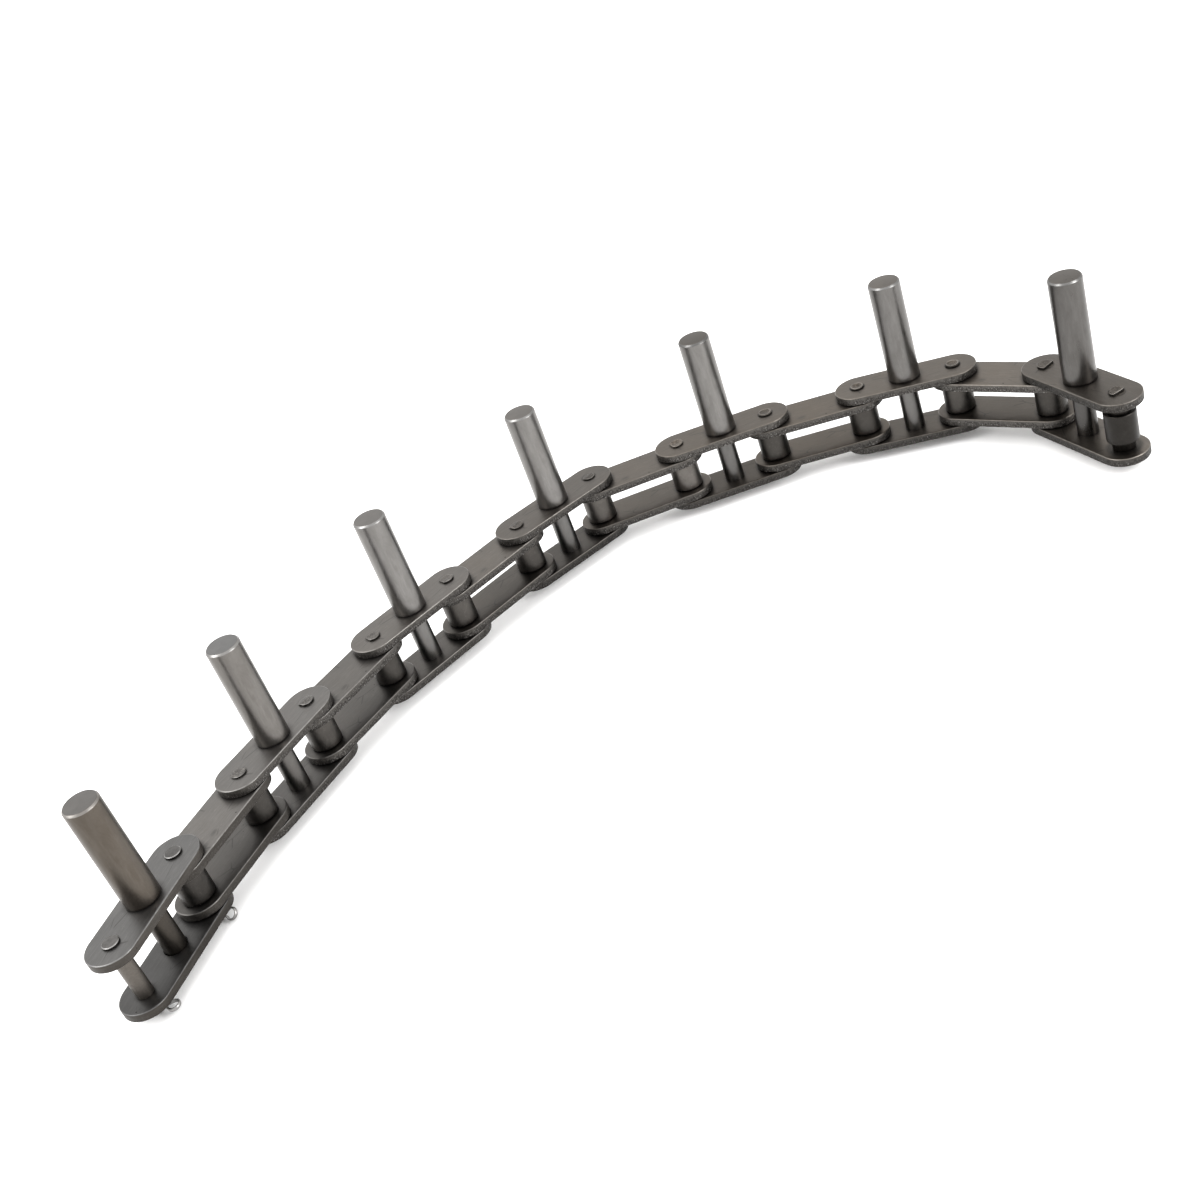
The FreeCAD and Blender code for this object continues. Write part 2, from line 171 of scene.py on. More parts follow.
def rounded_profile(corners, radii, steps=4):
    """Round each inner corner of a section: a parabola with its ends one tangent length away.

    A point of the round is (1-s)^2 start + 2s(1-s) corner + s^2 end, with s from 0 to 1.
    """
    corners = np.array(corners, float)
    points = [corners[:1]]
    share = np.linspace(0, 1, steps + 1)[:, None]
    for before, corner, after, radius in zip(corners, corners[1:], corners[2:], radii):
        if radius <= 0:
            points.append(corner[None, :])
            continue
        back = (before - corner) / np.linalg.norm(before - corner)
        ahead = (after - corner) / np.linalg.norm(after - corner)
        half = math.acos(float(np.clip(back @ ahead, -1, 1))) / 2
        start = corner + back * radius / math.tan(half)
        end = corner + ahead * radius / math.tan(half)
        points.append((1 - share) ** 2 * start + 2 * share * (1 - share) * corner + share**2 * end)
    points.append(corners[-1:])
    return np.concatenate(points)


def turned(centre, radius, height, sides):
    """Surface of revolution: (x + r cos a, y + r sin a, h), a going once round.

    radius and height are one value a row, or a whole grid of rows and sides.
    """
    angle = np.linspace(0, 2 * math.pi, sides, endpoint=False)
    radius = np.broadcast_to(np.reshape(radius, (len(radius), -1)), (len(radius), sides))
    height = np.broadcast_to(np.reshape(height, (len(height), -1)), radius.shape)
    x = centre[0] + radius * np.cos(angle)
    y = centre[1] + radius * np.sin(angle)
    return np.stack([x, y, height], axis=-1)


def wave(seed, columns, rows, softness):
    """Smooth random values from 0 to 1 on closed rings, the same on every run."""
    values = np.random.default_rng(seed).random((rows, columns))
    for _ in range(softness):
        values = (np.roll(values, 1, 1) + 2 * values + np.roll(values, -1, 1)) / 4
    low = values.min()
    return (values - low) / (values.max() - low)


# Plates

SIDE_STEPS = 80
END_STEPS = 56
CUT_STEPS = 20
RIM_STEPS = 6
WALL_STEPS = 8
ROLL_WIDTH = 0.55 * MM
ROLL_DEPTH = 0.38 * MM
LOWER_BREAK = 0.12 * MM
TORN_DEPTH = 0.16 * MM
FLAT_REACH = PLATE_REACH - ROLL_WIDTH
FACE_SHARES = np.array([1.0, 0.35, 0.0])


def plate_outline():
    """Plate's upper face, inside its rolled rim: two straight sides closed by half circles.

    Points run anticlockwise from the left pin's lower side: (s P, -r), then the right end
    (P + r cos a, r sin a), then (P - s P, r), then the left end; normals point away from it.
    """
    share = np.arange(SIDE_STEPS) / SIDE_STEPS
    angle = np.arange(END_STEPS) / END_STEPS * math.pi - math.pi / 2
    round_end = np.stack([np.cos(angle), np.sin(angle)], axis=1)
    down = np.broadcast_to([0.0, -1.0], (SIDE_STEPS, 2))
    lower = np.stack([share * PITCH, np.full(SIDE_STEPS, -FLAT_REACH)], axis=1)
    upper = np.stack([PITCH - share * PITCH, np.full(SIDE_STEPS, FLAT_REACH)], axis=1)
    points = [lower, round_end * FLAT_REACH + [PITCH, 0], upper, -round_end * FLAT_REACH]
    return np.concatenate(points), np.concatenate([down, round_end, -down, -round_end])


def fan_border(outline, left_cut, right_cut):
    """Closed border of the part of the plate between two cuts, given as shares of the pitch."""
    count = len(outline)
    top_start = SIDE_STEPS + END_STEPS
    first = int(round((left_cut or 0) * SIDE_STEPS))
    last = int(round((right_cut or 1) * SIDE_STEPS))
    climb = np.linspace(-FLAT_REACH, FLAT_REACH, CUT_STEPS + 1)[1:-1]
    right_end = np.arange(SIDE_STEPS + 1, top_start)
    left_end = np.arange(top_start + SIDE_STEPS + 1, count)
    pieces = [outline[np.arange(first, last + 1)]]
    if right_cut:
        pieces.append(np.stack([np.full(len(climb), right_cut * PITCH), climb], axis=1))
    else:
        pieces.append(outline[right_end])
    over = np.arange(top_start + SIDE_STEPS - last, top_start + SIDE_STEPS - first + 1)
    pieces.append(outline[over % count])
    if left_cut:
        pieces.append(np.stack([np.full(len(climb), left_cut * PITCH), -climb], axis=1))
    else:
        pieces.append(outline[left_end])
    return np.concatenate(pieces)


def plate_fan(border, hole_at, hole_radius, low, high):
    """Both faces and the hole's wall of one part of the plate, as one grid.

    On a face a point lies at (1 - s) times the hole's circle plus s times the border, both
    seen in the same direction from the hole's middle; the rows go in, down the hole and out.
    """
    centre = np.array([hole_at, 0.0])
    away = border - centre
    circle = centre + away / np.linalg.norm(away, axis=1)[:, None] * hole_radius
    share = np.concatenate([FACE_SHARES, FACE_SHARES[::-1]])[:, None, None]
    plan = circle * (1 - share) + border * share
    height = np.repeat([high, low], len(FACE_SHARES))[:, None, None]
    return np.concatenate([plan, np.broadcast_to(height, plan.shape[:2] + (1,))], axis=2)


def plate_side(outline, normals, low, high, tear, seed):
    """Rim and side: a section carried round the outline.

    The section is a quarter ellipse (rolled rim), a sheared wall, a broken lower edge and the
    strip under the rim. At a share d of the plate's thickness the wall is torn back by the
    tear times max(0, w - 0.3) times 2.2 d - 0.7, held from 0 to 1, w a random wave.
    """
    turn = np.linspace(0, math.pi / 2, RIM_STEPS)
    wall = np.linspace(high - ROLL_DEPTH, low + LOWER_BREAK, WALL_STEPS + 1)[1:]
    out = np.concatenate([np.sin(turn) * ROLL_WIDTH, np.full(WALL_STEPS, ROLL_WIDTH)])
    out = np.concatenate([out, [ROLL_WIDTH - LOWER_BREAK, 0.0]])
    height = np.concatenate([high - ROLL_DEPTH * (1 - np.cos(turn)), wall, [low, low]])
    out = np.repeat(out[:, None], len(outline), axis=1)
    torn = np.clip(wave(seed, len(outline), WALL_STEPS, 1) - 0.3, 0, None) * tear
    deeper = np.clip((high - wall) / (high - low) * 2.2 - 0.7, 0, 1)[:, None]
    out[RIM_STEPS:-2] -= torn * deeper
    out[-2] -= torn[-1] / 2
    plan = outline + normals * out[..., None]
    height = np.broadcast_to(height[:, None, None], plan.shape[:2] + (1,))
    return np.concatenate([plan, height], axis=2)


def make_plate(index, node, holes, material, tear):
    """One punched plate in the place of its CAD node; holes are (along the link, radius)."""
    low = level(node, False)
    high = level(node, True)
    outline, normals = plate_outline()
    middles = [(a[0] + b[0]) / 2 / PITCH for a, b in zip(holes, holes[1:])]
    cuts = [None] + middles + [None]
    surfaces = []
    for (hole_at, hole_radius), left_cut, right_cut in zip(holes, cuts, cuts[1:]):
        border = fan_border(outline, left_cut, right_cut)
        surfaces.append(grid(on_link(index, plate_fan(border, hole_at, hole_radius, low, high))))
    seed = 100 * index + int(high / MM)
    side = plate_side(outline, normals, low, high, tear, seed)
    surfaces.append(grid(on_link(index, side)))
    name = node.replace("_plate", "_punched_plate")
    return new_piece(name, surfaces, material, body_of_link(index), [node])


# Turned pieces

STUD_SEAT = TOP_FACE + 0.02 * MM
STUD_EDGE_WIDTH = 0.6 * MM
STUD_EDGE_DEPTH = 0.7 * MM
SHANK_BREAK = 0.3 * MM
HEAD_BREAK_WIDTH = 0.3 * MM
HEAD_BREAK_DEPTH = 0.26 * MM
TAIL_BEVEL = 0.5 * MM
BREAK_ROUND = 0.1 * MM


def turned_section(centre, section, sides, close_rows=False):
    """A section of (radius, height) turned once round a centre."""
    return grid(turned(centre, section[:, 0], section[:, 1], sides), close_rows)


def make_stud(index, material):
    """A stepped stud: a rounded section (radius, height) turned about the middle of its link."""
    start, along, _ = link_frame(index)
    corners = [
        (0, SHANK_END),
        (SHANK_RADIUS - SHANK_BREAK, SHANK_END),
        (SHANK_RADIUS, SHANK_END + SHANK_BREAK),
        (SHANK_RADIUS, STUD_SEAT),
        (STUD_RADIUS, STUD_SEAT),
        (STUD_RADIUS, STUD_TOP - STUD_EDGE_DEPTH),
        (STUD_RADIUS - STUD_EDGE_WIDTH, STUD_TOP),
        (0, STUD_TOP),
    ]
    radii = [BREAK_ROUND, BREAK_ROUND, 0.0, 0.45 * MM, 0.3 * MM, 0.12 * MM]
    section = rounded_profile(corners, radii)
    surface = turned_section(start + along * PITCH / 2, section, 96)
    body = body_of_link(index)
    return new_piece(body + "_turned_stud", [surface], material, body, [body + "_stud"])


def ring_section(bore, radius, low, high, inner_round, outer_round, steps):
    """Closed section of a ring: a rectangle with its bore's and its outer edges rounded."""
    middle = (low + high) / 2
    seam = (bore, middle)
    corners = [seam, (bore, low), (radius, low), (radius, high), (bore, high), seam]
    radii = [inner_round, outer_round, outer_round, inner_round]
    return rounded_profile(corners, radii, steps)[:-1]


def roller_surface(centre):
    """A roller: a ring with well rounded outer edges and a small break at the bore."""
    section = ring_section(
        ROLLER_BORE, ROLLER_RADIUS, ROLLER_LOW, ROLLER_HIGH, 0.15 * MM, 0.5 * MM, 4
    )
    return turned_section(centre, section, 72, close_rows=True)


def bush_surface(centre):
    """A bush: a ring with a small break at its four edges."""
    section = ring_section(
        BUSH_BORE, BUSH_RADIUS, INNER_BOTTOM_FACE, INNER_TOP_FACE, 0.12 * MM, 0.08 * MM, 2
    )
    return turned_section(centre, section, 64, close_rows=True)


END_SIDES = 72
END_SHARES = np.array([1.0, 1.0, 0.97, 0.915, 0.85, 0.78, 0.66, 0.5, 0.34, 0.17, 0.0])
END_CLIMB = np.array([0.02, 0.74, 0.83, 0.94, 1.0, 1.0, 1.0, 1.0, 1.0, 1.0, 1.0])
END_SCARS = 0.1 * MM
END_FOOT = 0.02
LOWEST_TOP = 0.12


def spun_end(face, tip, look, seed):
    """Rows of a riveted end: a low disc with an uneven edge, from the plate's face to its middle.

    The edge is at radius R (1 - 0.05 w), w a smooth random wave, cut back to c / cos(a - b)
    where a flat at distance c faces the direction b. The top stands at h - s max(0, x - l)
    - d exp(-(r / 0.5 R)^2) + k exp(-((r / R - 0.82) / 0.1)^2) plus small scars: a facet with
    slope s past the line x = l, a dish of depth d and a raised ring of height k.
    """
    angle = np.linspace(0, 2 * math.pi, END_SIDES, endpoint=False)
    full = PIN_RADIUS * look["size"]
    edge = full * (1 - 0.05 * wave(seed, END_SIDES, 1, 3)[0])
    facing_flat = np.cos(angle - look["flat_faces"])
    limit = look["flat"] * PIN_RADIUS / np.maximum(facing_flat, 0.05)
    edge = np.minimum(edge, limit)
    radius = END_SHARES[:, None] * edge
    past_line = radius * np.cos(angle - look["facet_faces"]) - look["line"] * PIN_RADIUS
    facet = look["slope"] * np.clip(past_line, 0, None)
    dish = look["dish"] * MM * np.exp(-((radius / (0.5 * full)) ** 2))
    ring = look["ring"] * MM * np.exp(-(((radius / full - 0.82) / 0.1) ** 2))
    scars = wave(seed + 1, END_SIDES, len(END_SHARES), 2) - 0.5
    scars = END_SCARS * scars * np.sin(math.pi * END_SHARES)[:, None] ** 2
    stand = abs(tip - face) * look["stand"]
    top = np.maximum(stand - facet - dish + ring + scars, LOWEST_TOP * stand)
    height = face + math.copysign(1, tip - face) * top * END_CLIMB[:, None]
    height[0] = face + END_FOOT * (tip - face)
    return radius, height


def riveted_pin(centre, look, seed):
    """One pin of an outer link: a round bar with a riveted end outside each plate."""
    lower_radius, lower_height = spun_end(BOTTOM_FACE, RIVET_END, PLAIN_END, seed + 50)
    upper_radius, upper_height = spun_end(TOP_FACE, RIVET_TOP, look, seed)
    bar_radius = np.full((2, END_SIDES), PIN_RADIUS)
    bar_height = np.array([[BOTTOM_FACE], [TOP_FACE]]) + 0 * bar_radius
    radius = np.concatenate([lower_radius[::-1], bar_radius, upper_radius])
    height = np.concatenate([lower_height[::-1], bar_height, upper_height])
    height[0] = height[0].mean()
    height[-1] = height[-1].mean()
    return grid(turned(centre, radius, height, END_SIDES))


def connecting_pin(centre):
    """A pin of the connecting link: head with a narrow break above, bevelled tail below."""
    corners = [
        (0, TAIL_END),
        (PIN_RADIUS - TAIL_BEVEL, TAIL_END),
        (PIN_RADIUS, TAIL_END + TAIL_BEVEL),
        (PIN_RADIUS, HEAD_TOP - HEAD_BREAK_DEPTH),
        (PIN_RADIUS - HEAD_BREAK_WIDTH, HEAD_TOP),
        (0, HEAD_TOP),
    ]
    section = rounded_profile(corners, [BREAK_ROUND, BREAK_ROUND, BREAK_ROUND, 0.08 * MM])
    return turned_section(centre, section, 64)


EYE_DISTANCE = 8.3 * MM
EYE_RADIUS = 1.75 * MM
LEG_GAP = 0.05 * MM
PARTED_FROM = 4.0 * MM
LEG_TIP = 8.1 * MM
LEG_PARTING = 2.3 * MM
NECK = -(EYE_DISTANCE - EYE_RADIUS - 1.1 * MM)
WIRE_SIZE = 0.98 * MM
EYE_THINNER = 0.33 * MM
EYE_LOWER = 0.23 * MM


def split_pin(index, along_link, tilt):
    """Half-round wire bent round an eye, through the pin's tail, with its ends parted.

    The path lies in a plane through the split pin's own axis: x is sideways and y runs from
    the eye (negative) to the tips. Down each leg x = 0.05 mm, then x grows with the square of
    the way past the pin; round the eye x = e cos a, y = -8.3 mm + e sin a. The section is a
    half disc with its flat towards the axis, thinner round the eye, and the whole is tilted.
    """
    down = np.linspace(NECK, PARTED_FROM, 10)
    parted = np.linspace(PARTED_FROM, LEG_TIP, 9)[1:]
    leg_y = np.concatenate([down, parted])
    past_pin = np.clip((leg_y - PARTED_FROM) / (LEG_TIP - PARTED_FROM), 0, 1)
    leg_x = LEG_GAP + LEG_PARTING * past_pin**2
    around = np.radians(np.linspace(58, -238, 41))
    eye_x = EYE_RADIUS * np.cos(around)
    eye_y = EYE_RADIUS * np.sin(around) - EYE_DISTANCE
    eye = np.stack([eye_x, eye_y], axis=1)
    right = np.stack([leg_x, leg_y], axis=1)
    path = np.concatenate([right[::-1], eye, right * [-1, 1]])
    for _ in range(2):
        path[1:-1] = (path[:-2] + 2 * path[1:-1] + path[2:]) / 4
    tangent = np.gradient(path, axis=0)
    tangent /= np.linalg.norm(tangent, axis=1)[:, None]
    outward = np.stack([-tangent[:, 1], tangent[:, 0]], axis=1)
    near_eye = np.clip((NECK + 1.2 * MM - path[:, 1]) / (1.5 * MM), 0, 1)
    thick = WIRE_SIZE - EYE_THINNER * near_eye
    tall = WIRE_SIZE - EYE_LOWER * near_eye
    bow = np.radians(np.linspace(-90, 90, 11))
    out = np.concatenate([np.cos(bow), [0.0]])
    up = np.concatenate([np.sin(bow), [0.0]])
    plane = path[:, None, :] + outward[:, None, :] * (thick[:, None] * out)[..., None]
    height = tall[:, None] * up
    cos, sin = math.cos(tilt), math.sin(tilt)
    side = plane[..., 0] * cos - height * sin
    height = plane[..., 0] * sin + height * cos
    local = np.stack([along_link + side, plane[..., 1], SPLIT_PIN_LEVEL + height], axis=-1)
    ends = np.broadcast_to(local[[0, -1]].mean(axis=1, keepdims=True), (2,) + local.shape[1:])
    closed = np.concatenate([ends[:1], local, ends[1:]])
    return grid(on_link(index, closed))


# Materials


def grey(value, warmth=0.0):
    """A grey of a given lightness, a little redder and less blue with warmth."""
    return (value * (1 + warmth), value, value * (1 - warmth), 1.0)


class Nodes:
    """A short way to write a material's node tree."""

    def __init__(self, name):
        self.material = bpy.data.materials.new(name)
        self.material.use_nodes = True
        self.tree = self.material.node_tree
        self.shader = self.tree.nodes["Principled BSDF"]
        self.place = self.tree.nodes.new("ShaderNodeTexCoord")

    def link(self, source, target):
        self.tree.links.new(source, target)

    def feed(self, socket, value):
        """Link a node's output to a socket, or set a plain value on it."""
        if isinstance(value, bpy.types.NodeSocket):
            self.link(value, socket)
        else:
            socket.default_value = value

    def centred(self, centre, turn=0.0):
        """Object coordinates seen from a point of the plan and turned along a link."""
        node = self.tree.nodes.new("ShaderNodeMapping")
        node.vector_type = "POINT"
        self.link(self.place.outputs["Object"], node.inputs["Vector"])
        cos, sin = math.cos(-turn), math.sin(-turn)
        x, y = centre
        node.inputs["Location"].default_value = (-(x * cos - y * sin), -(x * sin + y * cos), 0)
        node.inputs["Rotation"].default_value = (0, 0, -turn)
        return node.outputs["Vector"]

    def seen_from_link(self, index):
        """Object coordinates seen from a link's left pin: x along the link, y across it."""
        start, along, _ = link_frame(index)
        return self.centred(start, math.atan2(along[1], along[0]))

    def facing(self):
        """How far the surface faces up: the height of its normal."""
        return self.part(self.place.outputs["Normal"], 2)

    def stretched(self, vector, scale):
        """Coordinates times a scale along each axis."""
        node = self.tree.nodes.new("ShaderNodeVectorMath")
        node.operation = "MULTIPLY"
        self.link(vector, node.inputs[0])
        node.inputs[1].default_value = scale
        return node.outputs["Vector"]

    def noise(self, vector, scale, detail=4.0, rough=0.55, distort=0.0):
        """Cloudy noise from 0 to 1; the scale is in periods a metre."""
        node = self.tree.nodes.new("ShaderNodeTexNoise")
        self.link(vector, node.inputs["Vector"])
        node.inputs["Scale"].default_value = scale
        node.inputs["Detail"].default_value = detail
        node.inputs["Roughness"].default_value = rough
        node.inputs["Distortion"].default_value = distort
        return node.outputs["Fac"]

    def streaks(self, vector, scale, *details):
        """Noise with its own scale along each axis."""
        return self.noise(self.stretched(vector, scale), 1, *details)

    def cells(self, vector, scale, borders=False):
        """Distance to the nearest cell's middle, or to the nearest border between cells."""
        node = self.tree.nodes.new("ShaderNodeTexVoronoi")
        if borders:
            node.feature = "DISTANCE_TO_EDGE"
        self.link(vector, node.inputs["Vector"])
        node.inputs["Scale"].default_value = scale
        return node.outputs["Distance"]

    def spread(self, value, low, high, new_low=0.0, new_high=1.0, smooth=False):
        """Move a value from low..high to new_low..new_high, held at both ends."""
        node = self.tree.nodes.new("ShaderNodeMapRange")
        node.interpolation_type = "SMOOTHSTEP" if smooth else "LINEAR"
        self.feed(node.inputs["Value"], value)
        node.inputs["From Min"].default_value = low
        node.inputs["From Max"].default_value = high
        node.inputs["To Min"].default_value = new_low
        node.inputs["To Max"].default_value = new_high
        return node.outputs["Result"]

    def soft(self, value, low, high):
        """From 0 to 1 in a smooth step between low and high."""
        return self.spread(value, low, high, smooth=True)

    def math(self, operation, first, second=0.0):
        """One sum of two values."""
        node = self.tree.nodes.new("ShaderNodeMath")
        node.operation = operation
        self.feed(node.inputs[0], first)
        self.feed(node.inputs[1], second)
        return node.outputs[0]

    def times(self, first, second):
        """The product of two values."""
        return self.math("MULTIPLY", first, second)

    def mix(self, share, first, second):
        """Colour that goes from the first to the second with the share."""
        node = self.tree.nodes.new("ShaderNodeMix")
        node.data_type = "RGBA"
        self.feed(node.inputs["Factor"], share)
        self.feed(node.inputs[6], first)
        self.feed(node.inputs[7], second)
        return node.outputs[2]

    def clouded(self, pattern, low, high, dark, light):
        """Grey from dark to light, each (lightness, warmth), as a pattern climbs low to high."""
        return self.mix(self.spread(pattern, low, high), grey(*dark), grey(*light))

    def cover(self, colour, share, lightness, warmth):
        """A colour covered with a grey as far as the share says."""
        return self.mix(share, colour, grey(lightness, warmth))

    def part(self, vector, axis):
        """One coordinate: 0, 1 or 2 for x, y or z."""
        node = self.tree.nodes.new("ShaderNodeSeparateXYZ")
        self.link(vector, node.inputs[0])
        return node.outputs[axis]

    def distance(self, vector, point):
        """Distance across the plate from a point, with the height left out."""
        flat = self.stretched(vector, (1, 1, 0))
        node = self.tree.nodes.new("ShaderNodeVectorMath")
        node.operation = "DISTANCE"
        self.link(flat, node.inputs[0])
        node.inputs[1].default_value = point
        return node.outputs["Value"]

    def bump(self, height, strength, depth, under=None):
        """Relief of a given depth, on top of another one."""
        node = self.tree.nodes.new("ShaderNodeBump")
        self.link(height, node.inputs["Height"])
        node.inputs["Strength"].default_value = strength
        node.inputs["Distance"].default_value = depth
        if under is not None:
            self.link(under, node.inputs["Normal"])
        return node.outputs["Normal"]

    def finish(self, colour, roughness, normal, metallic=1.0):
        """Feed the shader and give the material."""
        self.feed(self.shader.inputs["Base Color"], colour)
        self.feed(self.shader.inputs["Roughness"], roughness)
        self.shader.inputs["Metallic"].default_value = metallic
        self.link(normal, self.shader.inputs["Normal"])
        return self.material


def plate_face(nodes, local, clouds, dents, tone, warmth, shadow_and_grime_rings):
    """Colour of a plate's faces: clouds, rolled grain, rubs, dents, scratches, and painted
    contact shadow with some grime.

    The rings are (along the link, radius, width, strength): painted contact shadow, with
    some grime, that fades away from what stands on the plate.
    """
    broad = nodes.streaks(local, (34, 52, 52), 2, 0.5)
    grain = nodes.streaks(local, (120, 1700, 1700), 3, 0.6)
    rubs = nodes.noise(nodes.stretched(local, (60, 420, 60)), 3, 5, 0.7, 1.2)
    scratches = nodes.cells(nodes.stretched(local, (48, 90, 60)), 1, borders=True)
    scratched = nodes.spread(nodes.noise(local, 75, 2), 0.52, 0.58, 0.0, 0.65)
    scratches = nodes.times(nodes.spread(scratches, 0.016, 0.004), scratched)
    dark, light = (tone * 0.84, warmth * 0.8), (tone * 1.12, warmth)
    face = nodes.clouded(broad, 0.32, 0.68, dark, light)
    face = nodes.cover(face, nodes.spread(clouds, 0.36, 0.6, 0.55, 0.0), tone * 0.68, warmth * 1.3)
    face = nodes.cover(face, nodes.spread(grain, 0.42, 0.7, 0.0, 0.24), tone * 1.4, warmth)
    face = nodes.cover(face, nodes.spread(rubs, 0.58, 0.72, 0.0, 0.42), tone * 1.7, warmth)
    face = nodes.cover(face, nodes.times(dents, 0.8), tone * 0.3, 0.05)
    face = nodes.cover(face, scratches, tone * 0.4, 0.05)
    # Painted contact shadow, with some grime, darkens the plate round what stands on it
    for at, radius, width, strength in shadow_and_grime_rings:
        away = nodes.distance(local, (at, 0, 0))
        ring = nodes.soft(away, radius + width, radius - 0.3 * width)
        face = nodes.cover(face, nodes.times(ring, strength), tone * 0.2, 0.08)
    return face


def plate_shear(nodes, local, tears, low, high, tone, sheared):
    """Colour of a plate's side, from ground (0) to sheared (1), and how far it is torn.

    Below a ragged line the torn steel is dark and full of bright flecks, and above it runs a
    smooth band; low and high are the plate's own heights.
    """
    flecks = nodes.streaks(local, (2300, 2300, 1400), 3, 0.65)
    bands = nodes.streaks(local, (70, 70, 500), 3, 0.6)
    ragged = nodes.streaks(local, (420, 420, 160), 4, 0.7)
    ground = nodes.clouded(bands, 0.35, 0.68, (tone * 0.72, 0.12), (tone * 1.25, 0.10))
    smooth_band = nodes.clouded(tears, 0.4, 0.7, (tone, 0.08), (tone * 1.7, 0.06))
    shorn = nodes.clouded(tears, 0.36, 0.64, (tone * 0.3, 0.08), (tone * 1.15, 0.07))
    shorn = nodes.cover(shorn, nodes.spread(flecks, 0.55, 0.65, 0.0, 0.72), tone * 4.8, 0.04)
    height = nodes.spread(nodes.part(local, 2), low, high)
    height = nodes.math("ADD", height, nodes.spread(ragged, 0.3, 0.7, -0.3, 0.3))
    torn = nodes.times(nodes.soft(height, 0.72, 0.5), sheared)
    return nodes.mix(torn, nodes.mix(sheared, ground, smooth_band), shorn), torn


def plate_steel(name, node, index, shadow_and_grime_rings, face_tone, warmth, side_tone, sheared):
    """Dark satin strip steel with a scuffed rim under a painted highlight; sides from ground (0) to
    sheared (1).
    """
    nodes = Nodes(name)
    local = nodes.seen_from_link(index)
    facing = nodes.facing()
    on_side = nodes.soft(nodes.math("ABSOLUTE", facing), 0.5, 0.15)
    rim = nodes.times(nodes.soft(facing, 0.1, 0.45), nodes.soft(facing, 0.995, 0.93))
    clouds = nodes.noise(local, 120, 5, 0.58)
    fine = nodes.noise(local, 2400, 2, 0.6)
    tears = nodes.streaks(local, (2500, 2500, 800), 4, 0.7, 0.3)
    dents = nodes.soft(nodes.cells(local, 230), 0.1, 0.035)
    dents = nodes.times(dents, nodes.spread(nodes.noise(local, 120, 1), 0.52, 0.58))

    face = plate_face(nodes, local, clouds, dents, face_tone, warmth, shadow_and_grime_rings)
    low, high = level(node, False), level(node, True)
    side, torn = plate_shear(nodes, local, tears, low, high, side_tone, sheared)
    colour = nodes.mix(on_side, face, side)
    # Painted highlight along the rolled rim where it slopes up, partly scuffed bright steel
    rim_wear_and_sheen = nodes.spread(nodes.noise(local, 320, 3, 0.6), 0.3, 0.62, 0.2, 0.7)
    colour = nodes.cover(colour, nodes.times(rim, rim_wear_and_sheen), face_tone * 1.75, warmth * 0.6)

    roughness = nodes.spread(clouds, 0.3, 0.75, 0.36, 0.46)
    roughness = nodes.math("ADD", roughness, nodes.times(dents, 0.3))
    roughness = nodes.math("ADD", roughness, nodes.times(on_side, 0.14))
    relief = nodes.times(tears, nodes.times(on_side, torn))
    normal = nodes.bump(relief, 0.15 + 0.8 * sheared, 0.14 * MM)
    flat = nodes.math("SUBTRACT", nodes.times(fine, 0.4), dents)
    return nodes.finish(colour, roughness, nodes.bump(flat, 0.35, 0.03 * MM, normal))


